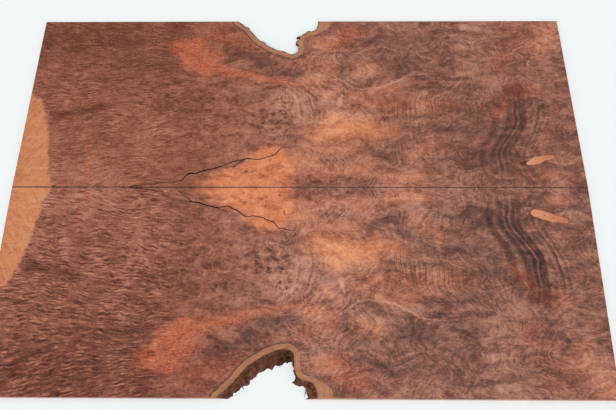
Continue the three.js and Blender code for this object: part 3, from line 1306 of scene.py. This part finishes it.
# %% Roughen the bark
BARK_RELIEF = 0.7 * MM
BARK_GRAIN = (3.2, 3.2, 2.4)  # millimetres
BARK_FALL, BARK_STEP, BARK_OCTAVES = 0.9, 2.1, 4  # how the finer noises follow the first
RIM_RAGGED = {"leaf_near": 0.3, "leaf_far": 1.0}  # how much of the relief reaches the rim
FOOT_RAGGED = 1.6 * MM
SEED_SHIFT = {"leaf_near": Vector((0, 0, 0)), "leaf_far": Vector((31, 7, 3))}


def in_grain(place, grain):
    return Vector([value / size for value, size in zip(place, grain)])


def kept_in_flats(vert, push):
    """A push with what would lift the point out of a sawn face taken away."""
    for face in vert.link_faces:
        if face.material_index == WOOD_SLOT:
            push = push - face.normal * push.dot(face.normal)
    return push


def move_points(pushes):
    """Moves each point by its push, but not above the show face or below the underside."""
    for vert, push in pushes.items():
        vert.co += push
        vert.co.z = min(max(vert.co.z, 0), THICKNESS)


def roughen_bark(bm, name):
    """Pushes bark points in and out. Returns each one's height, from 0 in a furrow to 1 on a scale."""
    heights = {}
    pushes = {}
    for vert in points_of(faces_of(bm, BARK_SLOT)):
        around = [face.normal for face in vert.link_faces if face.material_index == BARK_SLOT]
        normal = sum(around, Vector()).normalized()
        place = in_grain(vert.co / MM + SEED_SHIFT[name], BARK_GRAIN)
        scales = noise.fractal(place, BARK_FALL, BARK_STEP, BARK_OCTAVES)
        heights[vert] = min(max(0.5 + 0.5 * scales, 0), 1)
        push = normal * scales * BARK_RELIEF
        if vert.co.z > THICKNESS - EXACT:
            push *= RIM_RAGGED[name]
        elif vert.co.z < EXACT and name == "leaf_near":
            push = Vector((normal.x, normal.y, 0)).normalized() * scales * FOOT_RAGGED
        scrap = rim_push(name, vert.co.x / MM, abs(vert.co.y) / MM) * MM * (vert.co.z / THICKNESS)
        push += Vector((scrap.x, LEAVES[name] * scrap.y, 0))
        pushes[vert] = kept_in_flats(vert, push)
    move_points(pushes)
    return heights


# %% [markdown]
# ### The drying crack
# The crack opened as the burl dried, and it wanders round hard spots. Its two banks fit each other, so
# both get the same wide wander, from a noise much coarser than the crack is wide, and only a fine fray
# differs. At its left end it is hardly open, so each bank is drawn part of the way to the other one there.

# %% Draw the crack together at its left end
# Where it starts to close and where it is narrowest, in millimetres along the seam, and the share of its
# width that each bank moves over.
CLOSING = {"leaf_near": (-99, -104.5, 0.47), "leaf_far": (-140, -162, 0.28)}
NEIGHBOURS = 60  # points among which the opposite bank is sought
OPPOSITE = -0.4  # banks face each other where the product of their normals is below this


def bank_normal(vert):
    """Which way the wall of the crack faces at a point, leaving out the flat faces that meet it."""
    walls = [face.normal for face in vert.link_faces if face.material_index == CRACK_SLOT]
    return sum(walls, Vector()).normalized()


def close_crack(bm, name):
    """Draws the banks of the crack together at its left end. Returns how many points moved."""
    open_from, closed_from, closing = CLOSING[name]
    verts = points_of(faces_of(bm, CRACK_SLOT))
    facing = [bank_normal(vert) for vert in verts]
    tree = kdtree.KDTree(len(verts))
    for i, vert in enumerate(verts):
        tree.insert(vert.co, i)
    tree.balance()
    moves = {}
    for vert, normal in zip(verts, facing):
        share = min(max((open_from - vert.co.x / MM) / (open_from - closed_from), 0), 1)
        for place, i, _ in tree.find_n(vert.co, NEIGHBOURS):
            if share and facing[i].dot(normal) < OPPOSITE and abs(place.z - vert.co.z) < EXACT:
                moves[vert] = kept_in_flats(vert, (place - vert.co) * closing * share)
                break
    for vert, move in moves.items():
        vert.co += move
    return len(moves)


# %% Make the crack wander and fray
NOISE_SEED = 2
noise.seed_set(NOISE_SEED)  # without a seed, noise_vector gives other vectors in every run
CRACK_RAGGED = 0.22 * MM
CRACK_WANDER = 1.3 * MM
FRAY_GRAIN = (2.1, 2.1, 4)  # millimetres
WANDER_GRAIN = (8, 8, 20)
# Where the crack steps over to its next strand, each leaf was opened on another strand.
CRACK_STEP = {"leaf_near": (-63.5, 8, -3.9), "leaf_far": (-64, 9, 3.6)}  # x, reach and push out


def roughen_crack(bm, name):
    """Makes the crack wander, both banks together, and frays each bank a little."""
    verts = points_of(faces_of(bm, CRACK_SLOT))
    step_x, reach, size = CRACK_STEP[name]
    pushes = {}
    for vert in verts:
        place = vert.co / MM + SEED_SHIFT[name]
        fray = noise.noise_vector(in_grain(place, FRAY_GRAIN))
        wander = noise.noise_vector(in_grain(place, WANDER_GRAIN))
        away = (vert.co.x / MM - step_x) / reach
        over = Vector((0, LEAVES[name] * size * MM * math.exp(-away * away), 0))
        pushes[vert] = kept_in_flats(vert, over + fray * CRACK_RAGGED + wander * CRACK_WANDER)
    move_points(pushes)
    return len(verts)


# %% [markdown]
# ### Loose chips and splinters
# Some scales of bark hang on by a thread, and torn fibres stick out of the face. Pushing the bark's own
# points further would stretch its faces thin. So a chip is an icosphere, flattened and dented by noise,
# and a splinter is a thin cone. Both are sunk into the bark, so that no joint shows.

# %% Add loose chips of bark
# Each chip is (x, out, half length, half width, turn in degrees), in millimetres.
BARK_CHIPS = {
    "leaf_near": [(12, 194, 3.2, 2.2, 70), (14.5, 198, 2.4, 1.6, 20), (9.5, 190.5, 2.6, 1.2, 25)],
    "leaf_far": [(-3.6, 172.5, 3.4, 1.3, 84), (-2.6, 179.8, 2.0, 1.3, 25), (-15.5, 159.2, 3.0, 0.9, -14)],
}
CHIP_HEIGHT = 1.4 * MM
CHIP_LEVEL = 2.0 * MM  # above the underside
CHIP_RAGGED = 0.35 * MM
CHIP_GRAIN = 1.3  # millimetres
CHIP_RELIEF = {"leaf_near": 0.8, "leaf_far": 0.1}  # the near leaf's chips are paler


def as_bark(bm, verts, height):
    """Gives new points and their faces the look of bark, as at that height of its relief."""
    relief = bm.verts.layers.float[RELIEF_ATTRIBUTE]
    for vert in verts:
        vert[relief] = height
    for face in in_order(face for vert in verts for face in vert.link_faces):
        face.material_index = BARK_SLOT
    return len(verts)


def add_chips(bm, name, side):
    points = 0
    for x, out, length, width, turn in BARK_CHIPS[name]:
        place = Matrix.Translation((x * MM, side * out * MM, CHIP_LEVEL))
        place @= Matrix.Rotation(math.radians(side * turn), 4, "Z")
        place @= Matrix.Diagonal((length * MM, width * MM, CHIP_HEIGHT, 1))
        chip = bmesh.ops.create_icosphere(bm, subdivisions=3, radius=1, matrix=place)["verts"]
        for vert in chip:
            vert.co += noise.noise_vector(vert.co / MM / CHIP_GRAIN) * CHIP_RAGGED
        points += as_bark(bm, chip, CHIP_RELIEF[name])
    return points


# %% Add splinters
# Each splinter is (x, out) of its root and of its tip, in millimetres.
SPLINTERS = {
    "leaf_near": [
        ((9.5, 191), (7.6, 198.6)),
        ((11, 194), (8.4, 196)),
        ((-45.5, 189), (-43.6, 194)),
        ((-16, 170), (-13, 173.4)),
    ],
    "leaf_far": [
        ((-38.5, 171), (-36.8, 174)),
        ((-57.5, 187.5), (-55.4, 189.6)),
        ((10, 185), (12, 187.4)),
    ],
}
SPLINTER_ROOT = 0.45 * MM  # radius
SPLINTER_TIP = SPLINTER_ROOT / 5
SPLINTER_RELIEF = 0.1


def add_splinters(bm, name, side):
    points = 0
    for root, tip in SPLINTERS[name]:
        start = Vector((root[0], side * root[1], 0)) * MM
        reach = Vector((tip[0], side * tip[1], 0)) * MM - start
        place = Matrix.Translation(start + reach / 2 + Vector((0, 0, CHIP_LEVEL)))
        place @= reach.to_track_quat("Z", "Y").to_matrix().to_4x4()
        splinter = bmesh.ops.create_cone(
            bm,
            cap_ends=True,
            segments=6,
            radius1=SPLINTER_ROOT,
            radius2=SPLINTER_TIP,
            depth=reach.length,
            matrix=place,
        )["verts"]
        points += as_bark(bm, splinter, SPLINTER_RELIEF)
    return points


# %% [markdown]
# ### The rim's distance
# The sapwood's material asks how far a point lies from the bark. Comparing every point with every other
# would be slow, and a k-d tree of the bark's points answers it quickly. The bark slants through the slab,
# so the nearest bark is sought at the point's own height.

# %% Measure how far each point lies from the bark
RIM_REACH = 40.0  # millimetres, further than any mark that follows the rim
LEVEL_WEIGHT = 20.0  # heights count this much more than distances along the face


def measure_rim(bm):
    bark = points_of(faces_of(bm, BARK_SLOT))
    level = Vector((1, 1, LEVEL_WEIGHT))
    tree = kdtree.KDTree(len(bark))
    for i, vert in enumerate(bark):
        tree.insert(vert.co * level, i)
    tree.balance()
    layer = bm.verts.layers.float[RIM_ATTRIBUTE]
    for vert in bm.verts:
        vert[layer] = min(tree.find(vert.co * level)[2] / MM, RIM_REACH)


# %% [markdown]
# ### Both leaves
# Each leaf is now shaped step by step: the sawn faces are joined and eased, the bark and the crack are
# roughened, and the loose bark comes last. The rim is measured before the chips are added, because sapwood
# doesn't follow a loose chip. The leaf replaces its solid and rides on the board's one body.

# %% Shape a leaf's mesh
MERGE = 0.001 * MM


def shape_leaf(bm, node, side):
    bm.verts.layers.float.new(RIM_ATTRIBUTE)
    relief = bm.verts.layers.float.new(RELIEF_ATTRIBUTE)
    bmesh.ops.remove_doubles(bm, verts=bm.verts, dist=MERGE)
    bmesh.ops.recalc_face_normals(bm, faces=bm.faces)
    mark_walls(bm)
    join_flats(bm)
    eased = ease_edges(bm)
    subdivide_walls(bm)
    cut_grid(bm, side)
    bm.normal_update()
    heights = roughen_bark(bm, node)
    closed = close_crack(bm, node)
    ragged = roughen_crack(bm, node)
    measure_rim(bm)
    for vert, height in heights.items():
        vert[relief] = height
    chips = add_chips(bm, node, side)
    splinters = add_splinters(bm, node, side)
    for face in bm.faces:
        face.smooth = face.material_index == BARK_SLOT
    print(f"{node}: {eased} eased edges, {len(heights)} bark points")
    print(f"{node}: {ragged} crack points, {closed} of them drawn together")
    print(f"{node}: {chips} points in chips of bark, {splinters} in splinters")


# %% Make both leaves
BODY = "root"


def make_leaf(node, side):
    bm = bmesh.new()
    bm.from_mesh(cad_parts[node].data)
    shape_leaf(bm, node, side)
    mesh = bpy.data.meshes.new(node + "_wood")
    bm.to_mesh(mesh)
    bm.free()
    for material in (BURL, BARK, CRACK_WALL):
        mesh.materials.append(material)
    leaf = bpy.data.objects.new(node + "_wood", mesh)
    bpy.context.scene.collection.objects.link(leaf)
    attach(leaf, BODY)
    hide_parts(node)
    print(f"{leaf.name}: {len(mesh.polygons)} faces")


for node, side in LEAVES.items():
    make_leaf(node, side)

# %% [markdown]
# ## Floor and light
# The board lies on a pale, even surface under light from all round. A white world does most of that. One
# wide lamp from the camera's side gives the bark some direction, and its shadows fall where the board
# hides them. A sun lamp is used, because its light doesn't weaken with distance and both leaves get the
# same. An area lamp close by would leave one of them darker.

# %% Floor
FLOOR_SIZE = 30.0  # metres
FLOOR_WHITE = srgb(243, 248, 249)

bm = bmesh.new()
bmesh.ops.create_grid(bm, x_segments=1, y_segments=1, size=FLOOR_SIZE / 2)
floor_mesh = bpy.data.meshes.new("floor")
bm.to_mesh(floor_mesh)
bm.free()
floor = bpy.data.objects.new("floor", floor_mesh)
floor_material, _, floor_shader = new_material("pale_floor", 0.8, 0.1)
floor_shader.inputs["Base Color"].default_value = FLOOR_WHITE
floor_mesh.materials.append(floor_material)
bpy.context.scene.collection.objects.link(floor)

# %% Light
WORLD_STRENGTH = 0.625
SUN_STRENGTH = 1.36
SUN_SPREAD = 40  # degrees, as wide as a softbox seen from the board
SUN_TILT = 32  # degrees from straight overhead, over to the camera's side
SUN_PLACE = (0, -1.6, 2.6)  # metres; only the lamp's turn matters to its light

world = bpy.data.worlds.new("studio")
world.use_nodes = True
background = world.node_tree.nodes["Background"]
background.inputs["Color"].default_value = (1, 1, 1, 1)
background.inputs["Strength"].default_value = WORLD_STRENGTH
bpy.context.scene.world = world
lamp_data = bpy.data.lights.new("soft_lamp", "SUN")
lamp_data.energy = SUN_STRENGTH
lamp_data.angle = math.radians(SUN_SPREAD)
lamp = bpy.data.objects.new("soft_lamp", lamp_data)
lamp.matrix_world = Matrix.Translation(SUN_PLACE) @ Matrix.Rotation(math.radians(SUN_TILT), 4, "X")
bpy.context.scene.collection.objects.link(lamp)
bpy.context.scene.view_settings.view_transform = "Standard"
print(f"world {WORLD_STRENGTH}, lamp {SUN_STRENGTH}")
